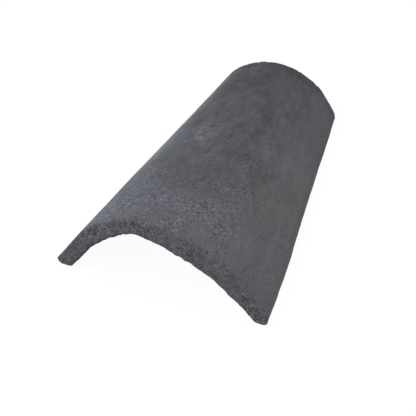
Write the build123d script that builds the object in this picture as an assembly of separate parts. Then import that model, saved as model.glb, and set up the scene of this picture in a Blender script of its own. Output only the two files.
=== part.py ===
from build123d import *

import os
from math import cos, radians, sin, tan

# Tapered barrel roof tile: one piece of dark fired clay, shaped over a tapering form.
# Its crown is a slice of a hollow cone whose axis lies level, below the plane of the feet. On each
# side a straight leg leaves the cone along a tangent plane and comes down to a foot. A foot is
# dressed flat and rounded on both of its corners, so that the tile lies still on its two feet.
# The cone narrows from the tail to the head, and with it the spread of the legs, so that the tail
# of one tile laps over the head of the next.
# Frame: millimetres, X across the tile, +Y from the tail to the head, +Z up, and the origin on
# the plane of the feet, half way along.

# Driving dimensions
tile_length = 320.0  # tail face to head face
wall = 15.0  # clay thickness, the same in the crown and the legs
tail_width = 200.0  # over the feet at the wide end
head_width = 164.0  # over the feet at the narrow end
leg_slope = 50.0  # degrees from the ground to a leg's outer face
tail_crown_radius = 90.0  # outside of the crown at the wide end
foot_outer_radius = 5.0  # rounding of a foot's outer corner
foot_inner_radius = 5.0  # rounding of a foot's inner corner
arris_radius = 2.5  # eased edge all round both end faces

# Worked out from the driving dimensions
slope = radians(leg_slope)
corner_reach = foot_outer_radius / tan(slope / 2) - foot_outer_radius  # a foot's sharp corner past its rounding
tail_corner = tail_width / 2 + corner_reach  # where a leg's outer face meets the ground at the tail
head_corner = head_width / 2 + corner_reach  # the same at the head
axis_height = tail_corner * tan(slope) - tail_crown_radius / cos(slope)  # cone's axis over the feet
head_crown_radius = (head_corner * tan(slope) - axis_height) * cos(slope)
tail_end = -tile_length / 2
head_end = tile_length / 2


def crown():
    """The crown: the wall's profile along the top, turned about the cone's axis from leg to leg."""
    cone_axis = Axis((0, 0, axis_height), (0, 1, 0))
    tail_top = axis_height + tail_crown_radius
    head_top = axis_height + head_crown_radius
    profile = Polyline(
        (tail_end, tail_top),
        (head_end, head_top),
        (head_end, head_top - wall),
        (tail_end, tail_top - wall),
        close=True,
    )
    along_top = Plane.YZ * make_face(profile)
    along_left_leg = along_top.rotate(cone_axis, -leg_slope)
    return revolve(along_left_leg, cone_axis, 2 * leg_slope)


def right_leg():
    """The leg on +X: a slab along the line where its plane touches the cone, down past the ground."""
    outward = Vector(sin(slope), 0, cos(slope))
    downhill = Vector(cos(slope), 0, -sin(slope))
    tail_axis = Vector(0, tail_end, axis_height)
    head_axis = Vector(0, head_end, axis_height)
    outer_top = tail_axis + outward * tail_crown_radius
    inner_top = outer_top - outward * wall
    past_ground = downhill * tail_width
    touch_line = head_axis + outward * head_crown_radius - outer_top
    outline = Polyline(
        outer_top, outer_top + past_ground, inner_top + past_ground, inner_top, close=True
    )
    return extrude(make_face(outline), amount=touch_line.length, dir=touch_line)


def foot_edges(tile):
    """The four long edges of the two feet, the inner pair first."""
    feet = tile.faces().group_by(Axis.Z)[0]
    long_edges = feet.edges().sort_by(SortBy.LENGTH)[-4:]
    return long_edges.sort_by(lambda edge: abs(edge.center().X))


def barrel_tile():
    """The whole tile: crown and legs in one, feet dressed flat and rounded, both ends eased."""
    leg = right_leg()
    arch = crown() + leg + mirror(leg, Plane.YZ)
    above_ground = Box(
        2 * tail_width,
        2 * tile_length,
        2 * tail_width,
        align=(Align.CENTER, Align.CENTER, Align.MIN),
    )
    tile = arch & above_ground
    tile = fillet(foot_edges(tile)[2:], foot_outer_radius)
    tile = fillet(foot_edges(tile)[:2], foot_inner_radius)
    end_faces = tile.faces().sort_by(Axis.Y)
    return fillet(end_faces[0].edges() + end_faces[-1].edges(), arris_radius)


os.makedirs("parts", exist_ok=True)
export_step(barrel_tile(), "parts/barrel_tile.step")
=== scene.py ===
"""Looks of a dark barrel roof tile, lying on its two feet on a pale studio floor.

The tile is one closed surface. A section, made of a crown arc, two straight legs and two rounded
feet, is carried from the wide tail to the narrow head. Its ends are closed by gritty faces with worn
arrises, and the hand's unevenness, pits and grain are moved along the surface's own normals.
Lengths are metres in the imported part's frame: X across, +Y from the tail to the head, +Z up.
"""

import itertools
import logging
import math
from dataclasses import dataclass
from enum import Enum
from functools import cached_property

import bpy
import numpy as np
from mathutils import Matrix, Vector


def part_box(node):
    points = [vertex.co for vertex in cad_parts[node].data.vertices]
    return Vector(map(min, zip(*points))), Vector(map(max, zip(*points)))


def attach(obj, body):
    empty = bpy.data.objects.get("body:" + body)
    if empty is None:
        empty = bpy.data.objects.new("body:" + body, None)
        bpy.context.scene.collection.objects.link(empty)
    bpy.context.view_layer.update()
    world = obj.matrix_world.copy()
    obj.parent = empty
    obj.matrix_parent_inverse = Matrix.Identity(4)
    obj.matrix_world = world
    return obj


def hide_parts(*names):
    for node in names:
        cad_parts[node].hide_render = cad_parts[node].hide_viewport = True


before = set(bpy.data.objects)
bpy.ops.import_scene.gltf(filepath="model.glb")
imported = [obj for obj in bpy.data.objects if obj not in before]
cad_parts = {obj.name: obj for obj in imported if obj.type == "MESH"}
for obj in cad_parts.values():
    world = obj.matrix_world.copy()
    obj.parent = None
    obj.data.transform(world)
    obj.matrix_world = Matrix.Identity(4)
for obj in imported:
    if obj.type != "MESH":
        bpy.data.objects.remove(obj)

log = logging.getLogger("barrel_tile")

MM = 0.001
BODY = "root"
NODE = "barrel_tile"
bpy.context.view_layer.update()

Place = tuple[float, float, float]
Colour = tuple[float, float, float, float]
Socket = bpy.types.NodeSocket
Feed = Socket | float | Colour
WHITE: Colour = (1.0, 1.0, 1.0, 1.0)


class End(Enum):
    """The two ends of the tile, by the sign of their side along Y."""

    TAIL = -1.0
    HEAD = 1.0


class Skin(Enum):
    """The two broad faces of the tile's wall."""

    OUTER = "outer"
    INNER = "inner"


class Tint(Enum):
    """What a stain changes: how light the clay is, or how bluish."""

    TONE = "tone"
    COOL = "cool"


class Maths(Enum):
    """The operations of a Math node that the finishes use."""

    ADD = "ADD"
    SUBTRACT = "SUBTRACT"
    MULTIPLY = "MULTIPLY"
    MAXIMUM = "MAXIMUM"
    POWER = "POWER"
    LESS_THAN = "LESS_THAN"
    ABSOLUTE = "ABSOLUTE"


class Grain:
    """Repeatable noise over space, read from one seeded table of random numbers."""

    TABLE_SIZE = 65521
    STRIDES = np.array((1, 263, 8219))
    DRAW_STRIDE = 7919
    LAYER_SHIFT = 17.3 * MM  # keeps the layers of a noise from lining up
    JITTER_DRAWS = (1, 2, 3)
    RADIUS_DRAW = 4
    PRESENCE_DRAW = 5
    DENT_RADIUS = 0.22  # a dent's least radius, as a share of its cell
    DENT_RADIUS_SPREAD = 0.28  # the most that chance adds to it

    def __init__(self, seed: int) -> None:
        """Fills the table of random numbers between 0 and 1 from the seed."""
        self.table = np.random.default_rng(seed).random(self.TABLE_SIZE)

    def drawn(self, cells: np.ndarray, draw: int = 0) -> np.ndarray:
        """The random number of each whole-numbered cell.

        Args:
            cells: whole numbers, three to a cell, in the last axis.
            draw: which of several independent numbers of the cell to read.

        Returns:
            One number between 0 and 1 for each cell.
        """
        return self.table[(cells @ self.STRIDES + draw * self.DRAW_STRIDE) % self.TABLE_SIZE]

    def smooth(self, points: np.ndarray, cell: float) -> np.ndarray:
        """Smooth noise: the numbers of a cell's eight corners, blended by a quintic ease.

        Args:
            points: places in space, one to a row.
            cell: width of the noise's cells.

        Returns:
            Noise between -1 and 1 at each point.
        """
        scaled = points / cell
        base = np.floor(scaled).astype(np.int64)
        part = scaled - base
        ease = part**3 * (part * (part * 6 - 15) + 10)
        total = np.zeros(len(points))
        for corner in itertools.product((0, 1), repeat=3):
            weight = np.where(corner, ease, 1 - ease).prod(axis=1)
            total += weight * self.drawn(base + np.array(corner))
        return 2 * total - 1

    def layered(self, points: np.ndarray, cell: float, layers: int) -> np.ndarray:
        """Sum of smooth noises, each with half the cell and half the height of the one before.

        Args:
            points: places in space, one to a row.
            cell: cell width of the coarsest layer.
            layers: how many layers to add.

        Returns:
            Noise of about -1 to 1 at each point: the sum, divided by what the heights add up to.
        """
        total = np.zeros(len(points))
        for layer in range(layers):
            share = 0.5**layer
            total += share * self.smooth(points + layer * self.LAYER_SHIFT, cell * share)
        return total / (2 - 0.5 ** (layers - 1))

    def dents(self, points: np.ndarray, cell: float, filled: float) -> np.ndarray:
        """Round dents strewn one to a cell: each is one minus its squared distance, squared.

        Args:
            points: places in space, one to a row.
            cell: width of the cells. A dent is at most that wide.
            filled: share of the cells that hold a dent.

        Returns:
            Depth of the deepest dent at each point, from 0 to 1.
        """
        scaled = points / cell
        base = np.floor(scaled).astype(np.int64)
        depth = np.zeros(len(points))
        for step in itertools.product((-1, 0, 1), repeat=3):
            near = base + np.array(step)
            jitter = np.stack([self.drawn(near, draw) for draw in self.JITTER_DRAWS], axis=1)
            radius = self.DENT_RADIUS + self.DENT_RADIUS_SPREAD * self.drawn(near, self.RADIUS_DRAW)
            away = np.linalg.norm(near + jitter - scaled, axis=1) / radius
            present = self.drawn(near, self.PRESENCE_DRAW) < filled
            depth = np.maximum(depth, present * np.clip(1 - away**2, 0, None) ** 2)
        return depth


def eased(value: np.ndarray, start: float | np.ndarray, stop: float | np.ndarray) -> np.ndarray:
    """A smooth step from 0 at start to 1 at stop, by the cubic ease.

    Args:
        value: numbers to place on the step.
        start: value at which the step is still 0.
        stop: value at which it has reached 1.

    Returns:
        The step's height at each value.
    """
    share = np.clip((value - start) / (stop - start), 0, 1)
    return share * share * (3 - 2 * share)


def bell(distance: np.ndarray, reach: float) -> np.ndarray:
    """A bell curve, 1 at no distance and about a third at the reach."""
    return np.exp(-((distance / reach) ** 2))


@dataclass(frozen=True)
class Ramp:
    """A smooth step between two values, which falls where it stops before it starts."""

    start: float  # where it is still 0
    stop: float  # where it has reached 1

    @classmethod
    def mm(cls, start: float, stop: float) -> "Ramp":
        """A ramp over a length, given in millimetres."""
        return cls(start * MM, stop * MM)

    def at(self, value: np.ndarray) -> np.ndarray:
        """The ramp's height at each value."""
        return eased(value, self.start, self.stop)


@dataclass(frozen=True)
class Swell:
    """A hand-made rise or hollow in one face of the wall."""

    skin: Skin
    across: float  # where its middle lies, from the tile's middle
    along: float  # where its middle lies along the tile
    reach: float  # half its width across the tile
    height: float  # along the normal away from the cone's axis
    fade: float  # half its length along the tile

    @classmethod
    def mm(cls, skin: Skin, *lengths: float) -> "Swell":
        """A swell with its five lengths, in the order above, in millimetres."""
        return cls(skin, *(length * MM for length in lengths))


@dataclass(frozen=True)
class Setback:
    """A stretch of the tail's face that was cut or worn back from the end."""

    across: float  # where its middle lies, from the tile's middle
    reach: float  # half its width across the tile
    depth: float  # how far back it stands


@dataclass(frozen=True)
class Stain:
    """A soft patch of another tone or tint, from smoke and wear."""

    tint: Tint
    strength: float  # what it adds in its middle
    across: float  # where its middle lies, from the tile's middle
    along: float  # where its middle lies along the tile
    reach: float  # half its width

    @classmethod
    def mm(cls, tint: Tint, strength: float, *lengths: float) -> "Stain":
        """A stain with its three lengths, in the order above, in millimetres."""
        return cls(tint, strength, *(length * MM for length in lengths))


@dataclass
class Surface:
    """A mesh under construction: points, faces with four and three corners, and point weights."""

    points: np.ndarray
    quads: np.ndarray
    triangles: np.ndarray
    weights: dict[str, np.ndarray]

    def normals(self) -> np.ndarray:
        """Unit normals of the points, as the area-weighted sum of the faces that meet there.

        Returns:
            One normal to a row.
        """
        total = np.zeros_like(self.points)
        for faces in (self.quads, self.triangles):
            corners = self.points[faces]
            span = corners[:, 2] - corners[:, 0]
            cross = np.cross(span, corners[:, -1] - corners[:, 1])
            for column in range(faces.shape[1]):
                np.add.at(total, faces[:, column], cross)
        return total / np.linalg.norm(total, axis=1, keepdims=True)

    def to_object(self, name: str) -> bpy.types.Object:
        """Makes a smooth-shaded Blender mesh of the surface and links it to the scene.

        Args:
            name: the piece's name.

        Returns:
            The new object, at the origin, with each weight as a point attribute.
        """
        mesh = bpy.data.meshes.new(name)
        mesh.from_pydata(self.points.tolist(), [], self.quads.tolist() + self.triangles.tolist())
        for weight, values in self.weights.items():
            attribute = mesh.attributes.new(weight, "FLOAT", "POINT")
            attribute.data.foreach_set("value", values.astype(np.float32))
        mesh.polygons.foreach_set("use_smooth", np.ones(len(mesh.polygons), dtype=bool))
        mesh.update()
        piece = bpy.data.objects.new(name, mesh)
        bpy.context.collection.objects.link(piece)
        return piece


@dataclass(frozen=True)
class Relief:
    """A layer of unevenness along the normals: a noise that is higher where the clay is grittier."""

    cell: float  # width of the noise's coarsest cells
    height: float  # on plain clay
    by_grit: float = 0.0  # added for each unit of grit
    by_ends: float = 0.0  # added on the end faces
    layers: int = 2

    def over(self, surface: Surface, grain: Grain) -> np.ndarray:
        """How far the layer moves each point: its height there times its noise.

        Args:
            surface: the tile, with its weights.
            grain: the noise's source.

        Returns:
            A length along the normal for each point.
        """
        weights = surface.weights
        height = self.height + self.by_grit * weights["grit"] + self.by_ends * weights["ends"]
        return height * grain.layered(surface.points, self.cell, self.layers)


class Places:
    """Where the points of the even tile lie: across, along, up, from its ends and on which face."""

    def __init__(self, surface: Surface, length: float) -> None:
        """Reads the places from the surface.

        Args:
            surface: the even tile.
            length: the tile's length.
        """
        self.across, self.along, self.up = surface.points.T
        self.from_tail = self.along + length / 2
        self.from_head = length / 2 - self.along
        self.from_end = np.minimum(self.from_tail, self.from_head)
        self.ends = surface.weights["ends"]
        self.underside = surface.weights["underside"]


@dataclass(frozen=True)
class Weathering:
    """What firing, smoke and wear did to the clay, and where light and shade are painted on it: where
    each zone lies and how strong it is.

    The tail's crown is the palest and grittiest, the right flank is the smoothest, and the clay
    darkens towards the head. The left rim has a painted highlight with a band of painted shade beside
    it, and the pits, the underside's end edges and the right foot get painted shade.
    """

    # Where the large zones lie
    tail_band: Ramp = Ramp.mm(66, 32)  # from the tail
    tail_band_side: Ramp = Ramp.mm(38, 70)  # across, where the band fades on the right
    tail_band_loss: float = 0.75  # what it loses there
    right_flank: Ramp = Ramp.mm(48, 72)  # across
    right_side: Ramp = Ramp.mm(0, 40)  # across
    midwards: Ramp = Ramp.mm(60, 150)  # from the tail
    headwards: Ramp = Ramp.mm(170, 50)  # from the head
    face: Ramp = Ramp(0, 0.3)  # share of an end face, past which a point is dressed as one

    # How gritty they are
    grit_level: float = 0.72
    grit_of_tail: float = 0.30
    grit_of_face: float = 1.55
    grit_loss_midway: float = 0.12
    grit_loss_on_flank: float = 0.42
    grit_loss_on_flank_midway: float = 0.35  # on top of the flank's own
    grit_loss_at_head: float = 0.9

    # How light they are
    tone_level: float = 0.95  # what all tones are multiplied by
    tone_of_face: float = 1.04
    tone_of_tail: float = 0.20
    tone_loss_at_head: float = 0.15
    tail_edge: Ramp = Ramp.mm(3.5, 1.5)  # from the tail
    tone_loss_at_tail_edge: float = 0.14
    head_edge: Ramp = Ramp.mm(26, 3)  # from the head
    tone_loss_at_head_edge: float = 0.18
    # Painted highlight: the left rim is made paler, as grazing light would make it, and painted shade
    # darkens a band beside it
    painted_highlight_across: Ramp = Ramp.mm(-40, -56)
    painted_highlight_along: Ramp = Ramp.mm(-110, -60)
    painted_highlight_up: Ramp = Ramp.mm(12, 36)
    tone_of_painted_highlight: float = 0.52
    left_shade_across: float = -30.0 * MM  # painted shade: a dark band beside the painted highlight on the left rim
    left_shade_reach: float = 12.0 * MM
    left_shade_along: Ramp = Ramp.mm(-90, -40)
    tone_loss_in_painted_shade: float = 0.09

    # How bluish and how mottled the clay is
    cool_level: float = 0.33
    cloudy_level: float = 0.8
    cloudy_midway: Ramp = Ramp.mm(60, 120)  # from the tail
    cloudy_of_middle: float = 0.8
    cloudy_loss_on_flank: float = 0.5

    # A patch of curled scratches on the crown
    scratched_across: float = -12.0 * MM  # its middle
    scratched_along: float = -16.0 * MM
    scratched_reach: float = 11.0 * MM
    scratched_squeeze: float = 0.6  # its width as a share of its length

    # Pits in the end faces and beside them, pushed in and painted dark as shade
    cavity_cell: float = 3.2 * MM
    cavity_layers: int = 2
    cavity: Ramp = Ramp(0.10, 0.50)  # value of the noise
    pitted_margin: Ramp = Ramp.mm(10, 2)  # from the nearer end
    pitted_up: Ramp = Ramp.mm(3, 15)

    # Dots along the end edges: holes that are painted dark as shade
    dots_reach: float = 3.5 * MM  # how far the dots come in from an end
    dots_reach_on_right: float = 6.5 * MM  # on top of that, on the right side
    dots_full_share: float = 0.4  # share of that reach within which they are all there
    dots_on_face: Ramp = Ramp(0.6, 1.0)  # share of an end face
    dots_loss_on_face: float = 0.8

    # Painted shade on the underside's end edges and along the right foot
    painted_shade_rim: float = 0.85  # share of the wall, from its outer skin, at which an end's painted shade starts
    painted_shade_rim_waver: float = 0.12
    painted_shade_skin: Ramp = Ramp(0.9, 1.0)  # share of the wall
    painted_shade_skin_reach: Ramp = Ramp.mm(8, 2)  # from the nearer end
    painted_shade_of_rim: float = 1.3
    painted_shade_loss_on_right: float = 0.8
    painted_shade_right: Ramp = Ramp.mm(10, 50)  # across
    low_edge: Ramp = Ramp.mm(15, 2)  # up
    painted_shade_of_low_edge: float = 0.5
    most_painted_shade: float = 1.2

    stains: tuple[Stain, ...] = (
        Stain.mm(Tint.TONE, 0.18, 26, -120, 36),
        Stain.mm(Tint.TONE, 0.09, 52, -92, 12),
        Stain.mm(Tint.TONE, -0.06, -26, -122, 14),
        Stain.mm(Tint.TONE, -0.12, -32, -149, 12),
        Stain.mm(Tint.TONE, -0.10, 85, -150, 16),
        Stain.mm(Tint.TONE, -0.05, 10, -4, 18),
        Stain.mm(Tint.TONE, -0.06, -13, -76, 11),
        Stain.mm(Tint.TONE, 0.16, -49, -45, 12),
        Stain.mm(Tint.TONE, 0.10, -52, -95, 12),
        Stain.mm(Tint.TONE, -0.08, 20, -40, 14),
        Stain.mm(Tint.TONE, -0.06, 48, -45, 14),
        Stain.mm(Tint.TONE, -0.09, 32, 20, 24),
        Stain.mm(Tint.TONE, -0.13, -15, 22, 20),
        Stain.mm(Tint.TONE, -0.15, -22, 95, 42),
        Stain.mm(Tint.TONE, 0.11, 13, 70, 10),
        Stain.mm(Tint.TONE, 0.06, 44, 85, 16),
        Stain.mm(Tint.TONE, 0.10, 52, 135, 10),
        Stain.mm(Tint.TONE, -0.10, 14, 138, 20),
        Stain.mm(Tint.TONE, 0.05, 79, 8, 24),
        Stain.mm(Tint.TONE, -0.06, 74, 145, 18),
        Stain.mm(Tint.TONE, -0.09, -12, 38, 15),
        Stain.mm(Tint.TONE, -0.08, -3, -107, 9),
        Stain.mm(Tint.COOL, 0.90, -56, -128, 40),
        Stain.mm(Tint.COOL, 0.78, -40, -32, 28),
        Stain.mm(Tint.COOL, 0.26, -5, -76, 24),
        Stain.mm(Tint.COOL, 0.26, 14, -128, 22),
        Stain.mm(Tint.COOL, -0.28, 60, -46, 34),
        Stain.mm(Tint.COOL, 0.60, -20, 146, 16),
        Stain.mm(Tint.COOL, 0.45, 31, 98, 28),
        Stain.mm(Tint.COOL, 0.55, 8, 138, 20),
        Stain.mm(Tint.COOL, 0.30, 52, 134, 24),
    )

    def weigh(self, surface: Surface, length: float, grain: Grain) -> None:
        """Gives the even tile its weights for relief and finish.

        Args:
            surface: the even tile, which gets the new weights.
            length: the tile's length.
            grain: the source of the noise in which pits and soot are ragged.
        """
        places = Places(surface, length)
        face = self.face.at(places.ends)
        noise = grain.layered(surface.points, self.cavity_cell, self.cavity_layers)
        cavity = self.cavity.at(noise)
        pitted = np.maximum(self.pitted_margin.at(places.from_end), places.ends)
        tone = self.tone(places) + self.stained(places, Tint.TONE)
        cool = self.cool_level + self.stained(places, Tint.COOL)
        surface.weights["face"] = face
        surface.weights["grit"] = np.maximum(self.grit(places), self.grit_of_face * face)
        surface.weights["tone"] = self.tone_level * (tone * (1 - face) + self.tone_of_face * face)
        surface.weights["cool"] = np.clip(cool, 0, 1)
        surface.weights["cloudy"] = self.cloudy(places)
        surface.weights["scratched"] = self.scratched(places)
        surface.weights["dotted"] = self.dotted(places)
        surface.weights["pits"] = cavity * pitted * self.pitted_up.at(places.up)
        # painted shade on the underside's end edges and along the right foot
        surface.weights["painted_shade"] = self.painted_shade(places, cavity, face)

    def pale_tail(self, places: Places) -> np.ndarray:
        """The band along the tail's edge, from the left foot to the right haunch."""
        across = 1 - self.tail_band_loss * self.tail_band_side.at(places.across)
        return self.tail_band.at(places.from_tail) * across

    def grit(self, places: Places) -> np.ndarray:
        """How gritty the skins are: a level, plus the tail's band, less the other zones' losses.

        Args:
            places: where the points lie.

        Returns:
            The grit of each point.
        """
        midway = self.midwards.at(places.from_tail)
        level = self.grit_level + self.grit_of_tail * self.pale_tail(places)
        level -= self.grit_loss_midway * midway
        flank_loss = self.grit_loss_on_flank + self.grit_loss_on_flank_midway * midway
        level *= 1 - flank_loss * self.right_flank.at(places.across)
        return level * (1 - self.grit_loss_at_head * self.headwards.at(places.from_head))

    def tone(self, places: Places) -> np.ndarray:
        """How light the skins are before any stain: 1, plus the pale zones and the painted highlight on
        the left rim, less the dark zones and the painted shade beside that highlight.

        Args:
            places: where the points lie.

        Returns:
            The tone of each point.
        """
        tone = 1 + self.tone_of_tail * self.pale_tail(places)
        tone -= self.tone_loss_at_head * self.headwards.at(places.from_head)
        tone -= self.tone_loss_at_tail_edge * self.tail_edge.at(places.from_tail)
        tone -= self.tone_loss_at_head_edge * self.head_edge.at(places.from_head)
        # painted highlight along the left rim, then painted shade in a band beside it
        painted_highlight = self.painted_highlight_across.at(places.across) * self.painted_highlight_up.at(places.up)
        tone += self.tone_of_painted_highlight * painted_highlight * self.painted_highlight_along.at(places.along)
        shade = bell(places.across - self.left_shade_across, self.left_shade_reach)
        return tone - self.tone_loss_in_painted_shade * shade * self.left_shade_along.at(places.along)

    def stained(self, places: Places, tint: Tint) -> np.ndarray:
        """What the stains of one tint add: each its strength times a bell of the distance.

        Args:
            places: where the points lie.
            tint: which stains to add up.

        Returns:
            The sum at each point.
        """
        total = np.zeros_like(places.across)
        for stain in self.stains:
            if stain.tint is tint:
                away = np.hypot(places.across - stain.across, places.along - stain.along)
                total += stain.strength * bell(away, stain.reach)
        return total

    def cloudy(self, places: Places) -> np.ndarray:
        """How strongly the clay is mottled: more past the tail's band, less on the right flank."""
        level = self.cloudy_level + self.cloudy_of_middle * self.cloudy_midway.at(places.from_tail)
        return level * (1 - self.cloudy_loss_on_flank * self.right_flank.at(places.across))

    def scratched(self, places: Places) -> np.ndarray:
        """An oval patch of curled scratches: a bell of the distance, which counts for less lengthwise.

        Args:
            places: where the points lie.

        Returns:
            The patch's weight at each point.
        """
        along = self.scratched_squeeze * (places.along - self.scratched_along)
        away = np.hypot(places.across - self.scratched_across, along)
        return bell(away, self.scratched_reach)

    def dotted(self, places: Places) -> np.ndarray:
        """The dotted band along the end edges: it reaches further in on the right.

        Args:
            places: where the points lie.

        Returns:
            The band's weight at each point.
        """
        reach = self.dots_reach + self.dots_reach_on_right * self.right_side.at(places.across)
        band = eased(places.from_end, reach, self.dots_full_share * reach)
        return band * (1 - self.dots_loss_on_face * self.dots_on_face.at(places.ends))

    def painted_shade(self, places: Places, cavity: np.ndarray, face: np.ndarray) -> np.ndarray:
        """Painted shade on the underside's end edges, with a ragged border, and along the right foot.

        Args:
            places: where the points lie.
            cavity: how deep each point lies in a pit, from 0 to 1.
            face: 1 on the end faces.

        Returns:
            The painted shade on each point.
        """
        start = self.painted_shade_rim - self.painted_shade_rim_waver * cavity
        on_face = eased(places.underside * places.ends, start, 1.0)
        on_skin = self.painted_shade_skin.at(places.underside) * self.painted_shade_skin_reach.at(places.from_end)
        rim = self.painted_shade_of_rim - self.painted_shade_loss_on_right * self.painted_shade_right.at(places.across)
        # painted shade along the right foot's low edge
        low_edge = self.low_edge.at(places.up) * self.right_side.at(places.across)
        total = rim * np.maximum(on_face, on_skin) + self.painted_shade_of_low_edge * low_edge * (1 - face)
        return np.clip(total, 0, self.most_painted_shade)


@dataclass
class BarrelTile:
    """The tile: its section at both ends, its worn edges and the unevenness of the hand."""

    length: float
    tail_width: float
    box: tuple[np.ndarray, np.ndarray]
    head_width: float = 164.0 * MM
    wall: float = 15.0 * MM
    leg_slope: float = math.radians(50.0)
    tail_crown_radius: float = 90.0 * MM
    foot_radius: float = 5.0 * MM

    crown_cells: int = 62  # half the crown's arc
    leg_cells: int = 38
    foot_cells: int = 8  # a foot's outer rounding, and its sole with its inner rounding
    sole_cells: int = 3
    arris_cells: int = 5
    length_cells: int = 175
    row_grading: float = 1.2  # over 1, rows lie closer together near the tail
    end_cells: int = 15  # across the wall, on an end face

    arris: float = 1.1 * MM  # mean rounding of the worn end edges
    arris_wear: float = 0.7 * MM  # how much that rounding wanders
    arris_least: float = 0.44 * MM
    arris_most: float = 4.0 * MM
    wander_cell: float = 11.0 * MM
    wander_layers: int = 3
    nick_cell: float = 13.0 * MM
    nick_share: float = 0.35  # share of those cells that hold a nick

    rest_depth: float = 0.45 * MM  # how deep the even surface lies under the part's own
    rest_up: Ramp = Ramp.mm(4, 20)  # the feet stay at the part's own surface
    head_corner: float = 12.0 * MM  # rounding of the head's right corner, seen from above
    tail_lean: float = 1.0 * MM  # how far the tail's crown stands back behind its feet
    tail_setback: Setback = Setback(across=-7.0 * MM, reach=60.0 * MM, depth=2.1 * MM)
    end_waver: float = 0.3 * MM  # how much the end faces waver
    waver_cell: float = 30.0 * MM
    swells: tuple[Swell, ...] = (
        Swell.mm(Skin.OUTER, -10, -160, 16, 1.6, 70),
        Swell.mm(Skin.OUTER, 68, -160, 18, 2.5, 90),
        Swell.mm(Skin.OUTER, 60, 160, 10, 2.2, 70),
        Swell.mm(Skin.OUTER, 82, 160, 8, 0.9, 60),
        Swell.mm(Skin.OUTER, 96, -90, 10, 0.9, 50),
        Swell.mm(Skin.OUTER, 86, 92, 10, 0.6, 35),
        Swell.mm(Skin.OUTER, -60, -72, 14, 0.7, 40),
        Swell.mm(Skin.OUTER, -46, 160, 12, 0.6, 30),
        Swell.mm(Skin.OUTER, 97, -158, 9, -1.1, 16),
        Swell.mm(Skin.INNER, 65, -160, 8, 0.9, 30),
        Swell.mm(Skin.INNER, -11, -160, 11, 2.6, 60),
        Swell.mm(Skin.INNER, 30, -160, 23, -3.2, 60),
        Swell.mm(Skin.INNER, -45, -160, 14, -1.3, 30),
        Swell.mm(Skin.INNER, 81, -160, 12, 3, 30),
    )

    waves: Relief = Relief(70.0 * MM, 0.40 * MM)
    lumps: Relief = Relief(14.0 * MM, 0.06 * MM, 0.05 * MM, 0.18 * MM)
    sand: Relief = Relief(3.6 * MM, 0.02 * MM, 0.05 * MM, 0.16 * MM)
    ragged_foot: Relief = Relief(9.0 * MM, 0.3 * MM)
    ragged_foot_up: Ramp = Ramp.mm(14, 4)
    ragged_rim: Relief = Relief(6.0 * MM, 0.6 * MM)  # the underside's end edges
    ragged_rim_reach: Ramp = Ramp.mm(9, 2)  # from the nearer end
    ragged_rim_up: Ramp = Ramp.mm(4, 12)
    pit_depth: float = 0.55 * MM
    dent_depth: float = 0.25 * MM
    dent_cell: float = 7.0 * MM
    dent_share: float = 0.2  # share of those cells that hold a dent
    weathering: Weathering = Weathering()
    grain: Grain = Grain(41)

    @classmethod
    def from_frame(cls) -> "BarrelTile":
        """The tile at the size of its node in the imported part."""
        low, high = (np.array(corner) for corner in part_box(NODE))
        return cls(length=high[1] - low[1], tail_width=high[0] - low[0], box=(low, high))

    def corner(self, width: float) -> float:
        """Where a leg's outer face would meet the ground, from the tile's middle."""
        return width / 2 + self.foot_radius / math.tan(self.leg_slope / 2) - self.foot_radius

    def axis_height(self) -> float:
        """Height of the cone's axis over the soles, which is below them."""
        rise = self.corner(self.tail_width) * math.tan(self.leg_slope)
        return rise - self.tail_crown_radius / math.cos(self.leg_slope)

    def half_section(self, width: float, skin: Skin) -> np.ndarray:
        """The right half of a section's outer or inner line, from the crown to the sole's outer end.

        The crown is an arc about the cone's axis, from straight up to the leg's slope. The leg leaves
        it along its tangent. The foot's rounding is an arc that touches the leg and the ground, and
        on the inner line the flat sole follows.

        Args:
            width: the section's width over its feet.
            skin: which of the wall's faces the line follows.

        Returns:
            Points in X and Z, one to a row.
        """
        slope = self.leg_slope
        across = np.array((math.sin(slope), math.cos(slope)))
        axis = np.array((0.0, self.axis_height()))
        radius = self.corner(width) * math.sin(slope) - axis[1] * math.cos(slope)
        outer_centre = np.array((width / 2 - self.foot_radius, self.foot_radius))
        if skin is Skin.OUTER:
            foot_centre = outer_centre
            turn = np.linspace(slope, math.pi, self.foot_cells + 1)
            leg_end = foot_centre + self.foot_radius * across
            sole = np.empty((0, 2))
        else:
            radius -= self.wall
            inner_corner = self.corner(width) - self.wall / math.sin(slope)
            inner_reach = inner_corner + self.foot_radius * math.tan(slope / 2)
            foot_centre = np.array((inner_reach, self.foot_radius))
            turn = np.linspace(slope + math.pi, math.pi, self.foot_cells - self.sole_cells + 1)
            leg_end = foot_centre - self.foot_radius * across
            steps = np.linspace(0, 1, self.sole_cells + 1)[1:, None]
            sole = (1 - steps) * (foot_centre * (1, 0)) + steps * (outer_centre * (1, 0))
        angle = np.linspace(0, slope, self.crown_cells + 1)
        crown = axis + radius * np.stack((np.sin(angle), np.cos(angle)), axis=1)
        down = np.linspace(0, 1, self.leg_cells + 1)[1:, None]
        leg = (1 - down) * crown[-1] + down * leg_end
        foot = foot_centre + self.foot_radius * np.stack((np.sin(turn), np.cos(turn)), axis=1)[1:]
        return np.concatenate((crown, leg, foot, sole))

    def section(self, width: float) -> np.ndarray:
        """A closed section: over the outer line from left to right, and back along the inner line.

        Args:
            width: the section's width over its feet.

        Returns:
            Points in X and Z, one to a row, the first at the left sole's outer end.
        """
        mirror = np.array((-1.0, 1.0))
        outer = self.half_section(width, Skin.OUTER)
        inner = self.half_section(width, Skin.INNER)
        over = np.concatenate((outer[::-1] * mirror, outer[1:]))
        back = np.concatenate((inner[::-1][1:], inner[1:-1] * mirror))
        return np.concatenate((over, back))

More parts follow.
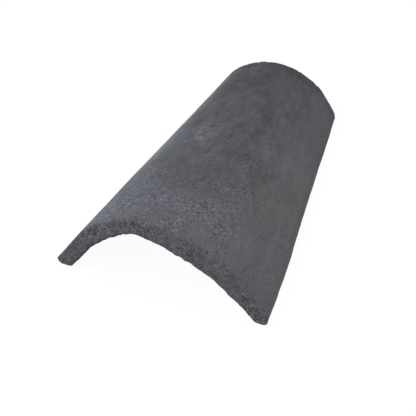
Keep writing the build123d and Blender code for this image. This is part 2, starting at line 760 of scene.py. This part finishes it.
    def worn_arris(self, rim: np.ndarray, end: End) -> np.ndarray:
        """Rounding of an end's edge at each point of its rim: a mean that wanders, with nicks.

        Args:
            rim: the section's points at that end, in X and Z.
            end: which end it is.

        Returns:
            The rounding's radius at each point.
        """
        places = np.stack((rim[:, 0], np.full(len(rim), end.value), rim[:, 1]), axis=1)
        wander = self.grain.layered(places, self.wander_cell, self.wander_layers)
        nicks = self.grain.dents(places, self.nick_cell, self.nick_share)
        radius = self.arris + self.arris_wear * (wander + nicks)
        return np.clip(radius, self.arris_least, self.arris_most)

    def carried(self) -> tuple[np.ndarray, np.ndarray]:
        """The section carried from tail to head, with both end edges rounded.

        A row is a blend of the two end sections by its place along the tile. Near an end the rows
        follow a quarter circle: as they near the end face, the section shrinks along its normals.

        Returns:
            The rows of points, and each row's share of an end face, from 0 to 1.
        """
        tail = self.section(self.tail_width)
        head = self.section(self.head_width)
        tail_arris = self.worn_arris(tail, End.TAIL)
        head_arris = self.worn_arris(head, End.HEAD)
        inwards = np.linspace(math.pi / 2, 0, self.arris_cells + 1)[:, None]
        outwards = inwards[::-1]
        along = np.linspace(0, 1, self.length_cells + 1)[1:-1, None] ** self.row_grading
        start = -self.length / 2 + tail_arris
        stop = self.length / 2 - head_arris
        tail_rows = start - tail_arris * np.sin(inwards)
        middle_rows = (1 - along) * start + along * stop
        head_rows = stop + head_arris * np.sin(outwards)
        rows = np.concatenate((tail_rows, middle_rows, head_rows))
        tail_shrink = tail_arris * (1 - np.cos(inwards))
        head_shrink = head_arris * (1 - np.cos(outwards))
        shrink = np.concatenate((tail_shrink, np.zeros_like(middle_rows), head_shrink))
        facing = np.concatenate((np.sin(inwards), np.zeros_like(along), np.sin(outwards))) ** 2
        share = (rows / self.length + 0.5)[..., None]
        flat = (1 - share) * tail + share * head
        tangent = np.roll(flat, -1, axis=1) - np.roll(flat, 1, axis=1)
        outward = np.stack((-tangent[..., 1], tangent[..., 0]), axis=2)
        outward /= np.linalg.norm(outward, axis=2, keepdims=True)
        flat = flat - outward * shrink[..., None]
        points = np.stack((flat[..., 0], rows, flat[..., 1]), axis=2)
        return points, np.broadcast_to(facing, rows.shape)

    def closed_surface(self) -> Surface:
        """The carried section, closed at both ends by faces ruled from the outer to the inner rim.

        Returns:
            The even tile, with weights for its end faces and its underside.
        """
        rows, facing = self.carried()
        row_count, loop = rows.shape[:2]
        number = np.arange(row_count * loop).reshape(row_count, loop)
        onward = np.roll(number, -1, axis=1)
        sides = np.stack((number[:-1], onward[:-1], onward[1:], number[1:]), axis=2).reshape(-1, 4)
        columns = loop // 2 + 1
        outer = np.arange(columns)
        inner = (loop - outer) % loop
        inner[-1] = columns - 1
        is_inner = np.zeros(loop)
        is_inner[columns:] = 1
        points = [rows.reshape(-1, 3)]
        ends = [facing.reshape(-1)]
        underside = [np.broadcast_to(is_inner, (row_count, loop)).reshape(-1)]
        quads = [sides]
        triangles = []
        count = row_count * loop
        through = np.linspace(0, 1, self.end_cells + 1)[1:-1, None, None]
        for row, flip in ((0, True), (row_count - 1, False)):
            rim_outer = rows[row, outer[1:-1]]
            rim_inner = rows[row, inner[1:-1]]
            filling = (1 - through) * rim_outer + through * rim_inner
            fresh = count + np.arange(filling.shape[0] * filling.shape[1]).reshape(filling.shape[:2])
            count += fresh.size
            net = np.empty((self.end_cells + 1, columns), dtype=np.int64)
            net[:] = number[row, outer]
            net[-1] = number[row, inner]
            net[1:-1, 1:-1] = fresh
            cells = np.stack((net[:-1, :-1], net[:-1, 1:], net[1:, 1:], net[1:, :-1]), axis=2)
            left = cells[:, 0][:, [0, 1, 2]]
            right = cells[:, -1][:, [0, 1, 3]]
            middle = cells[:, 1:-1].reshape(-1, 4)
            for group, faces in ((quads, middle), (triangles, left), (triangles, right)):
                group.append(faces[:, ::-1] if flip else faces)
            points.append(filling.reshape(-1, 3))
            ends.append(np.ones(fresh.size))
            underside.append(np.broadcast_to(through[:, :, 0], fresh.shape).reshape(-1))
        weights = {"ends": np.concatenate(ends), "underside": np.concatenate(underside)}
        return Surface(np.concatenate(points), np.concatenate(quads), np.concatenate(triangles), weights)

    def shaped_by_hand(self, surface: Surface) -> None:
        """Moves the even surface off its true form, by swells, a leaning tail and uneven end faces.

        A swell moves points along the normal of the cone by a bell across the tile times a bell along
        it. The tail's face leans back with height and stands back at the crown by a bell. Both end
        faces waver along the tile, inwards only. The head's right corner is a quarter circle from
        above, up to the flank's own line.

        Args:
            surface: the even tile, changed in place.
        """
        points = surface.points
        x, y, z = points.T.copy()
        normal = np.stack((x, np.zeros_like(x), z - self.axis_height()), axis=1)
        normal /= np.linalg.norm(normal, axis=1, keepdims=True)
        side = {Skin.OUTER: 1 - surface.weights["underside"], Skin.INNER: surface.weights["underside"]}
        rise = -self.rest_depth * side[Skin.OUTER] * self.rest_up.at(z)
        for swell in self.swells:
            shape = bell(x - swell.across, swell.reach) * bell(y - swell.along, swell.fade)
            rise += side[swell.skin] * swell.height * shape
        points += normal * rise[:, None]
        across = np.stack((x, np.zeros_like(x), z), axis=1)
        waver = self.end_waver * (1 + self.grain.smooth(across, self.waver_cell))
        flank = (self.tail_width + (self.head_width - self.tail_width) * (y / self.length + 0.5)) / 2
        inset = np.clip(x - flank + self.head_corner, 0, self.head_corner)
        rounding = self.head_corner - np.sqrt(self.head_corner**2 - inset**2)
        setback = self.tail_setback
        hollow = setback.depth * bell(x - setback.across, setback.reach)
        back = {
            End.TAIL: self.tail_lean * z / self.box[1][2] + waver + hollow,
            End.HEAD: waver + rounding,
        }
        for end, depth in back.items():
            near = eased(end.value * y, 0, self.length / 2)
            points[:, 1] -= end.value * near * depth

    def roughened(self, surface: Surface) -> None:
        """Adds the clay's relief along the normals: slow waves, lumps, sand, ragged edges and pits.

        The end faces are coarser than the rest, and the right flank is the smoothest. The feet and
        the underside's end edges are ragged.

        Args:
            surface: the tile, changed in place.
        """
        points = surface.points
        weights = surface.weights
        from_end = self.length / 2 - np.abs(points[:, 1])
        height = points[:, 2]
        on_foot = self.ragged_foot_up.at(height)
        on_rim = weights["underside"] * self.ragged_rim_reach.at(from_end) * self.ragged_rim_up.at(height)
        rise = sum(layer.over(surface, self.grain) for layer in (self.waves, self.lumps, self.sand))
        rise += on_foot * self.ragged_foot.over(surface, self.grain)
        rise += on_rim * self.ragged_rim.over(surface, self.grain)
        dents = self.grain.dents(points, self.dent_cell, self.dent_share)
        rise -= self.pit_depth * weights["pits"] + self.dent_depth * weights["grit"] * dents
        points += surface.normals() * rise[:, None]
        np.clip(points, self.box[0], self.box[1], out=points)

    def build(self) -> bpy.types.Object:
        """Builds the tile as one piece that stands for its node.

        Returns:
            The finished piece, riding on the part's body.
        """
        surface = self.closed_surface()
        self.weathering.weigh(surface, self.length, self.grain)
        self.shaped_by_hand(surface)
        self.roughened(surface)
        piece = surface.to_object("barrel_tile_clay")
        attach(piece, BODY)
        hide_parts(NODE)
        return piece

    def dress(self, piece: bpy.types.Object, finish: "FiredClay") -> None:
        """Gives the piece its finish."""
        piece.data.materials.append(finish.material())


@dataclass(frozen=True)
class Pattern:
    """A noise over the tile, with the stretch of its values that counts and what that becomes."""

    size: float  # width of its features
    counted: tuple[float, float]
    becomes: tuple[float, float]
    detail: float = 2.0  # how many finer layers it has
    squeeze: Place | None = None  # shares by which the coordinates are squeezed first


@dataclass(frozen=True)
class Spots:
    """Round spots strewn over the tile."""

    spacing: float  # mean distance between the cells that may hold a spot
    radius: float  # a spot's radius as a share of the spacing
    present: float  # share of the cells that hold one
    core: float = 0.25  # share of the radius within which a spot is whole


@dataclass(frozen=True)
class Scratches:
    """Thin lines where a slow noise crosses its middle."""

    size: float  # width of the noise's features, so about that of the lines' curls
    width: float  # how far from its middle the noise still counts as the line
    strength: float
    core: float = 0.25  # share of the width within which a line is whole
    middle: float = 0.5  # the noise's mean


class NodeBench:
    """A node tree, with short ways to add the nodes that the finishes use."""

    def __init__(self, owner: bpy.types.Material | bpy.types.World, output: str) -> None:
        """Empties the owner's tree and adds its output.

        Args:
            owner: the material or world that the tree belongs to.
            output: type name of the output node.
        """
        owner.use_nodes = True
        self.tree = owner.node_tree
        self.tree.nodes.clear()
        self.output = self.add(output)

    @cached_property
    def place(self) -> Socket:
        """Object coordinates, from one node for the whole tree."""
        return self.add("ShaderNodeTexCoord").outputs["Object"]

    def add(self, kind: str, **settings: object) -> bpy.types.Node:
        """Adds a node and sets its properties.

        Args:
            kind: the node's type name.
            settings: properties of the node.

        Returns:
            The new node.
        """
        node = self.tree.nodes.new(kind)
        for name, value in settings.items():
            setattr(node, name, value)
        return node

    def feed(self, socket: Socket, value: Feed) -> None:
        """Links an output to the socket, or sets the socket to a plain value.

        Args:
            socket: an input.
            value: an output, a number or a colour.
        """
        if isinstance(value, Socket):
            self.tree.links.new(value, socket)
        else:
            socket.default_value = value

    def weight(self, name: str) -> Socket:
        """The piece's own point attribute of that name."""
        return self.add("ShaderNodeAttribute", attribute_name=name).outputs["Fac"]

    def maths(self, operation: Maths, first: Feed, *others: Feed) -> Socket:
        """Numbers put together one after the other by a Math operation.

        Args:
            operation: what to do with the result so far and the next number.
            first: an output or a number.
            others: outputs or numbers.

        Returns:
            The last result's output.
        """
        for other in others:
            node = self.add("ShaderNodeMath", operation=operation.value)
            self.feed(node.inputs[0], first)
            self.feed(node.inputs[1], other)
            first = node.outputs[0]
        return first

    def sum(self, *numbers: Feed) -> Socket:
        """Numbers added up, each an output or a plain number."""
        return self.maths(Maths.ADD, *numbers)

    def product(self, *numbers: Feed) -> Socket:
        """Numbers multiplied, each an output or a plain number."""
        return self.maths(Maths.MULTIPLY, *numbers)

    def strongest(self, *numbers: Feed) -> Socket:
        """The largest of several numbers, each an output or a plain number."""
        return self.maths(Maths.MAXIMUM, *numbers)

    def remap(self, value: Feed, counted: tuple[float, float], becomes: tuple[float, float]) -> Socket:
        """Maps a range of numbers onto another, and holds it there.

        Args:
            value: the output to map.
            counted: the two ends of its range.
            becomes: the results at those ends.

        Returns:
            The mapped output.
        """
        node = self.add("ShaderNodeMapRange", clamp=True)
        for socket, number in zip(node.inputs[:5], (value, *counted, *becomes)):
            self.feed(socket, number)
        return node.outputs[0]

    def noise(self, size: float, detail: float, squeeze: Place | None = None) -> Socket:
        """Noise of about 0 to 1 with features of that size, on Object coordinates.

        Args:
            size: width of the features.
            detail: how many finer layers it has.
            squeeze: shares by which the coordinates are squeezed first, one for each axis, if any.

        Returns:
            The noise's output.
        """
        node = self.add("ShaderNodeTexNoise")
        node.inputs["Scale"].default_value = 1 / size
        node.inputs["Detail"].default_value = detail
        place = self.place
        if squeeze:
            mapping = self.add("ShaderNodeMapping")
            mapping.inputs["Scale"].default_value = squeeze
            self.feed(mapping.inputs["Vector"], place)
            place = mapping.outputs["Vector"]
        self.feed(node.inputs["Vector"], place)
        return node.outputs["Fac"]

    def pattern(self, pattern: Pattern) -> Socket:
        """A noise mapped onto what it becomes."""
        noise = self.noise(pattern.size, pattern.detail, pattern.squeeze)
        return self.remap(noise, pattern.counted, pattern.becomes)

    def cells(self, size: float) -> tuple[Socket, bpy.types.NodeOutputs]:
        """Cells strewn over space, each with its own random numbers from 0 to 1.

        Args:
            size: mean distance between the cells.

        Returns:
            The distance from a cell's middle, and the cell's numbers as Red, Green and Blue.
        """
        cells = self.add("ShaderNodeTexVoronoi")
        cells.inputs["Scale"].default_value = 1 / size
        self.feed(cells.inputs["Vector"], self.place)
        numbers = self.add("ShaderNodeSeparateColor")
        self.feed(numbers.inputs["Color"], cells.outputs["Color"])
        return cells.outputs["Distance"], numbers.outputs

    def spots(self, spots: Spots) -> Socket:
        """Spots as a weight: 1 in a spot's middle and 0 outside it.

        Args:
            spots: how large they are and how thickly they lie.

        Returns:
            The spots' output.
        """
        distance, numbers = self.cells(spots.spacing)
        body = self.remap(distance, (spots.radius, spots.core * spots.radius), (0, 1))
        held = self.maths(Maths.LESS_THAN, numbers["Red"], spots.present)
        return self.product(body, held)

    def blend(self, share: Feed, first: Feed, second: Feed) -> Socket:
        """Blends two colours.

        Args:
            share: weight of the second colour, an output or a number.
            first: an output or a colour.
            second: an output or a colour.

        Returns:
            The blended colour's output.
        """
        node = self.add("ShaderNodeMix", data_type="RGBA")
        self.feed(node.inputs["Factor"], share)
        self.feed(node.inputs["A"], first)
        self.feed(node.inputs["B"], second)
        return node.outputs["Result"]

    def scaled(self, colour: Feed, factor: Feed) -> Socket:
        """A colour times a number.

        Args:
            colour: an output or a colour.
            factor: an output or a number.

        Returns:
            The scaled colour's output.
        """
        node = self.add("ShaderNodeVectorMath", operation="SCALE")
        self.feed(node.inputs[0], colour)
        self.feed(node.inputs["Scale"], factor)
        return node.outputs["Vector"]

    def seen(self) -> Socket:
        """1 for what is seen, also in a mirror or through glass, and 0 for the light's other rays."""
        rays = self.add("ShaderNodeLightPath").outputs
        return self.strongest(rays["Is Camera Ray"], rays["Is Glossy Ray"], rays["Is Transmission Ray"])


LENGTHWISE: Place = (1.0, 0.45, 1.0)  # draws a pattern out along the tile
COMBED: Place = (1.0, 0.04, 1.0)  # draws it out to streaks


@dataclass(frozen=True)
class FiredClay:
    """Matt smoke-dark clay: bluish and plain greys, mottled, gritty, with pale flecks, and with painted
    shade in its pits and holes, on the underside's end edges and along the right foot.
    """

    cool_grey: Colour = (0.122, 0.1285, 0.158, 1.0)
    warm_grey: Colour = (0.128, 0.1253, 0.1315, 1.0)
    # near black: the painted shade in holes, pits, the underside's end edges and the right foot
    painted_shade: Colour = (0.035, 0.035, 0.038, 1.0)
    fleck: Colour = (0.38, 0.38, 0.39, 1.0)
    roughness: Pattern = Pattern(9.0 * MM, (0.3, 0.7), (0.82, 0.94))
    specular: float = 0.28

    grit_patches: Pattern = Pattern(19.0 * MM, (0.36, 0.64), (0.45, 1.45))
    cool_patches: Pattern = Pattern(15.0 * MM, (0.3, 0.7), (-0.26, 0.26), 3.0, LENGTHWISE)
    clouds: Pattern = Pattern(20.0 * MM, (0.25, 0.75), (-0.12, 0.12), 3.0, LENGTHWISE)
    mottle: Pattern = Pattern(6.5 * MM, (0.25, 0.75), (-0.13, 0.13), 2.0, LENGTHWISE)
    streaks: Pattern = Pattern(7.0 * MM, (0.3, 0.7), (0.965, 1.035), 2.0, COMBED)

    fine_sand_size: float = 1.1 * MM
    fine_sand: tuple[float, float] = (-0.304, 0.456)  # tones of its darkest and palest grains
    fine_sand_skew: float = 1.6  # over 1, few fine grains are pale
    coarse_sand_size: float = 2.6 * MM
    coarse_sand: tuple[float, float] = (-0.08, 0.08)

    # holes, pits and the underside's end edges are painted near black as shade
    pores: Spots = Spots(2.3 * MM, 0.36, 0.4)
    pores_by_grit: float = 0.34
    pores_on_ends: float = 0.45
    edge_dots: Spots = Spots(2.7 * MM, 0.42, 0.6)
    edge_dots_strength: float = 0.95
    pits_strength: float = 0.32
    painted_shade_edge: Pattern = Pattern(2.6 * MM, (0.36, 0.64), (0.4, 1.25))
    painted_shade_strength: float = 0.7

    flecks: Spots = Spots(3.4 * MM, 0.16, 0.22)
    flecks_strength: float = 0.8
    flecks_on_face: float = 0.35  # share of them that an end face keeps
    scuffs: Scratches = Scratches(17.0 * MM, 0.013, 0.3)
    scuffed_patches: Pattern = Pattern(33.0 * MM, (0.5, 0.62), (0.0, 1.0))
    curls: Scratches = Scratches(9.0 * MM, 0.05, 0.55)
    scratch_detail: float = 1.0
    scratch_breaks: Pattern = Pattern(4.0 * MM, (0.42, 0.6), (0.0, 1.0))

    bump_size: float = 1.0 * MM
    bump_detail: float = 3.0
    bump_by_grit: tuple[float, float] = (0.06, 0.9)  # on smooth clay, and on clay with a grit of 1
    bump_height: float = 0.6 * MM
    bump_strength: float = 0.6

    def material(self) -> bpy.types.Material:
        """The finish as a node material on Object coordinates and the tile's own weights.

        Returns:
            The new material.
        """
        material = bpy.data.materials.new("smoked_clay")
        bench = NodeBench(material, "ShaderNodeOutputMaterial")
        grit = bench.product(bench.weight("grit"), bench.pattern(self.grit_patches))
        holes = self.holes(bench, grit)
        colour = self.clay(bench, grit)
        # painted shade: holes, pits, the underside's end edges and the right foot darkened towards near
        # black
        colour = bench.blend(self.darkness(bench, holes), colour, self.painted_shade)
        colour = bench.blend(self.paleness(bench, grit), colour, self.fleck)
        shader = bench.add("ShaderNodeBsdfPrincipled")
        shader.inputs["Specular IOR Level"].default_value = self.specular
        bench.feed(shader.inputs["Base Color"], colour)
        bench.feed(shader.inputs["Roughness"], bench.pattern(self.roughness))
        bench.feed(shader.inputs["Normal"], self.bumps(bench, grit, holes))
        bench.feed(bench.output.inputs["Surface"], shader.outputs["BSDF"])
        return material

    def clay(self, bench: NodeBench, grit: Socket) -> Socket:
        """The clay's own colour: a blend of two greys in patches, times tone, mottle and sand.

        Args:
            bench: the material's nodes.
            grit: how gritty the clay is.

        Returns:
            The colour's output.
        """
        cool = bench.sum(bench.weight("cool"), bench.pattern(self.cool_patches))
        grey = bench.blend(cool, self.warm_grey, self.cool_grey)
        mottle = bench.sum(bench.pattern(self.clouds), bench.pattern(self.mottle))
        mottle = bench.sum(bench.product(mottle, bench.weight("cloudy")), 1.0)
        streaks = bench.pattern(self.streaks)
        tone = bench.product(bench.weight("tone"), mottle, streaks, self.sand(bench, grit))
        return bench.scaled(grey, tone)

    def sand(self, bench: NodeBench, grit: Socket) -> Socket:
        """Grains of two sizes, each of its own tone, as a factor about 1.

        Args:
            bench: the material's nodes.
            grit: how strongly the grains show.

        Returns:
            The factor's output.
        """
        fine_numbers = bench.cells(self.fine_sand_size)[1]
        coarse_numbers = bench.cells(self.coarse_sand_size)[1]
        pale = bench.maths(Maths.POWER, fine_numbers["Green"], self.fine_sand_skew)
        fine = bench.remap(pale, (0, 1), self.fine_sand)
        coarse = bench.remap(coarse_numbers["Green"], (0, 1), self.coarse_sand)
        return bench.sum(bench.product(bench.sum(fine, coarse), grit), 1.0)

    def holes(self, bench: NodeBench, grit: Socket) -> Socket:
        """Small round holes: pores where the clay is gritty or cut, and dots along the end edges.

        Args:
            bench: the material's nodes.
            grit: how gritty the clay is.

        Returns:
            The holes' weight.
        """
        on_ends = bench.product(bench.weight("ends"), self.pores_on_ends)
        shown = bench.strongest(bench.product(grit, self.pores_by_grit), on_ends)
        pores = bench.product(bench.spots(self.pores), shown)
        on_edges = bench.product(bench.weight("dotted"), self.edge_dots_strength)
        return bench.strongest(pores, bench.product(bench.spots(self.edge_dots), on_edges))

    def darkness(self, bench: NodeBench, holes: Socket) -> Socket:
        """How strong the painted shade is: in holes and pits, and on the underside's end edges and the
        right foot, whichever is darkest.

        Args:
            bench: the material's nodes.
            holes: the holes' weight.

        Returns:
            The weight of the painted shade's near-black colour.
        """
        pits = bench.product(bench.weight("pits"), self.pits_strength)
        painted_shade = bench.product(bench.weight("painted_shade"), bench.pattern(self.painted_shade_edge), self.painted_shade_strength)
        return bench.strongest(holes, pits, painted_shade)

    def paleness(self, bench: NodeBench, grit: Socket) -> Socket:
        """How pale flecks, scuffs and curled scratches are, whichever is palest.

        Args:
            bench: the material's nodes.
            grit: how gritty the clay is.

        Returns:
            The fleck colour's weight.
        """
        kept = bench.remap(bench.weight("face"), (0, 1), (1, self.flecks_on_face))
        flecks = bench.product(bench.spots(self.flecks), grit, grit, kept, self.flecks_strength)
        scuffed = bench.product(bench.pattern(self.scuffed_patches), grit)
        scuffs = self.scratches(bench, self.scuffs, scuffed)
        curls = self.scratches(bench, self.curls, bench.weight("scratched"))
        return bench.strongest(flecks, scuffs, curls)

    def scratches(self, bench: NodeBench, scratches: Scratches, shown: Socket) -> Socket:
        """Thin lines, broken here and there.

        Args:
            bench: the material's nodes.
            scratches: how fine and how strong they are.
            shown: where they show.

        Returns:
            The lines' weight.
        """
        noise = bench.noise(scratches.size, self.scratch_detail)
        off_middle = bench.maths(Maths.SUBTRACT, noise, scratches.middle)
        off_middle = bench.maths(Maths.ABSOLUTE, off_middle, 0.0)  # takes no heed of the second number
        line = bench.remap(off_middle, (scratches.core * scratches.width, scratches.width), (1, 0))
        return bench.product(line, bench.pattern(self.scratch_breaks), shown, scratches.strength)

    def bumps(self, bench: NodeBench, grit: Socket, holes: Socket) -> Socket:
        """Fine grain that stands up and holes that go in, as a bent normal.

        Args:
            bench: the material's nodes.
            grit: how gritty the clay is.
            holes: the holes' weight.

        Returns:
            The normal's output.
        """
        shown = bench.remap(grit, (0, 1), self.bump_by_grit)
        grains = bench.product(bench.noise(self.bump_size, self.bump_detail), shown)
        bump = bench.add("ShaderNodeBump")
        bump.inputs["Strength"].default_value = self.bump_strength
        bump.inputs["Distance"].default_value = self.bump_height
        bench.feed(bump.inputs["Height"], bench.maths(Maths.SUBTRACT, grains, holes))
        return bump.outputs["Normal"]


@dataclass(frozen=True)
class PaleGround:
    """The floor's finish: pale and matt to light, near white to the camera, with a faint shadow."""

    colour: Colour = (0.86, 0.86, 0.86, 1.0)
    glow: float = 0.95  # what the camera sees of the floor before any light
    shade: float = 0.10  # share of the lit floor that the camera sees on top of it

    def material(self) -> bpy.types.Material:
        """The finish as a node material that tells camera rays from the light's own.

        Returns:
            The new material.
        """
        material = bpy.data.materials.new("pale_ground")
        bench = NodeBench(material, "ShaderNodeOutputMaterial")
        lit = bench.add("ShaderNodeBsdfDiffuse")
        lit.inputs["Color"].default_value = self.colour
        glowing = bench.add("ShaderNodeEmission")
        glowing.inputs["Color"].default_value = WHITE
        glowing.inputs["Strength"].default_value = self.glow / (1 - self.shade)
        mix = bench.add("ShaderNodeMixShader")
        bench.feed(mix.inputs[0], bench.product(bench.seen(), 1 - self.shade))
        bench.feed(mix.inputs[1], lit.outputs[0])
        bench.feed(mix.inputs[2], glowing.outputs[0])
        bench.feed(bench.output.inputs["Surface"], mix.outputs[0])
        return material


@dataclass(frozen=True)
class Lamp:
    """A square soft lamp that points at the frame's origin, under the tile's crown."""

    name: str
    place: Place
    power: float  # in watts
    size: float = 0.9

    def build(self) -> None:
        """Adds the lamp to the scene."""
        light = bpy.data.lights.new(self.name, "AREA")
        light.size = self.size
        light.energy = self.power
        lamp = bpy.data.objects.new(self.name, light)
        lamp.location = self.place
        lamp.rotation_euler = (-Vector(self.place)).to_track_quat("-Z", "Y").to_euler()
        bpy.context.collection.objects.link(lamp)


@dataclass
class Studio:
    """The pale floor, the soft lamps and the even light of a white room."""

    floor_half: float = 4.0
    floor_drop: float = 0.2 * MM
    room_light: float = 0.3
    lamps: tuple[Lamp, ...] = (
        Lamp("key_lamp", (-0.81, -0.76, 1.0), 8.0),
        Lamp("side_lamp", (1.3, 0.0, 0.75), 8.2),
        Lamp("low_lamp", (-1.48, 0.0, 0.26), 10.8),
    )

    def floor(self) -> None:
        """A flat square just under the tile's feet."""
        mesh = bpy.data.meshes.new("studio_floor")
        corners = np.array(((-1, -1), (1, -1), (1, 1), (-1, 1))) * self.floor_half
        points = np.column_stack((corners, np.full(len(corners), -self.floor_drop)))
        mesh.from_pydata(points.tolist(), [], [tuple(range(len(corners)))])
        mesh.materials.append(PaleGround().material())
        floor = bpy.data.objects.new("studio_floor", mesh)
        bpy.context.collection.objects.link(floor)

    def room(self) -> None:
        """An even white room: full white to the camera, dimmer as light."""
        world = bpy.data.worlds.new("white_room")
        bpy.context.scene.world = world
        bench = NodeBench(world, "ShaderNodeOutputWorld")
        background = bench.add("ShaderNodeBackground")
        background.inputs["Color"].default_value = WHITE
        level = bench.remap(bench.seen(), (0, 1), (self.room_light, 1))
        bench.feed(background.inputs["Strength"], level)
        bench.feed(bench.output.inputs["Surface"], background.outputs["Background"])

    def build(self) -> None:
        """Builds the floor, the room's light and the lamps."""
        self.floor()
        self.room()
        for lamp in self.lamps:
            lamp.build()


@dataclass
class Viewpoint:
    """The camera: where it looks from, and how far its aim is from the tile's middle."""

    azimuth: float = math.radians(26.46)
    elevation: float = math.radians(41.32)
    roll: float = math.radians(-4.92)
    distance: float = 507.2 * MM
    aim_height: float = 35.0 * MM
    aside: tuple[float, float] = (-15.8 * MM, -54.5 * MM)  # along the picture's right and up
    nearest: float = 10.0 * MM  # what lies closer to the camera isn't shown
    focal_pixels: float = 500.0
    picture_pixels: float = 416.0
    sensor: float = 36.0  # in millimetres, as the lens is

    def build(self) -> bpy.types.Object:
        """Sets up the scene's camera.

        Returns:
            The camera's object.
        """
        level = math.cos(self.elevation)
        ahead = level * math.cos(self.azimuth)
        sideways = level * math.sin(self.azimuth)
        back = Vector((sideways, -ahead, math.sin(self.elevation)))
        right = (-back).cross(Vector((0, 0, 1))).normalized()
        up = right.cross(-back)
        turn = Matrix.Rotation(self.roll, 3, back)
        right, up = turn @ right, turn @ up
        place = Vector((0, 0, self.aim_height)) + back * self.distance
        place += right * self.aside[0] + up * self.aside[1]
        lens = bpy.data.cameras.new("viewpoint")
        lens.sensor_width = self.sensor
        lens.lens = self.focal_pixels * self.sensor / self.picture_pixels
        lens.clip_start = self.nearest
        camera = bpy.data.objects.new("viewpoint", lens)
        camera.matrix_world = Matrix.Translation(place) @ Matrix((right, up, back)).transposed().to_4x4()
        bpy.context.collection.objects.link(camera)
        bpy.context.scene.camera = camera
        return camera


def main() -> None:
    """Builds the tile, the studio and the camera in order, and reports each piece."""
    logging.basicConfig(level=logging.INFO, format="%(name)s: %(message)s")
    bpy.context.scene.view_settings.view_transform = "Standard"
    tile = BarrelTile.from_frame()
    piece = tile.build()
    tile.dress(piece, FiredClay())
    log.info("%s: %d points, %d faces", piece.name, len(piece.data.vertices), len(piece.data.polygons))
    studio = Studio()
    studio.build()
    log.info("studio: floor, room light and %d lamps", len(studio.lamps))
    camera = Viewpoint().build()
    log.info("camera: lens %.1f mm", camera.data.lens)


if __name__ == "__main__":
    main()
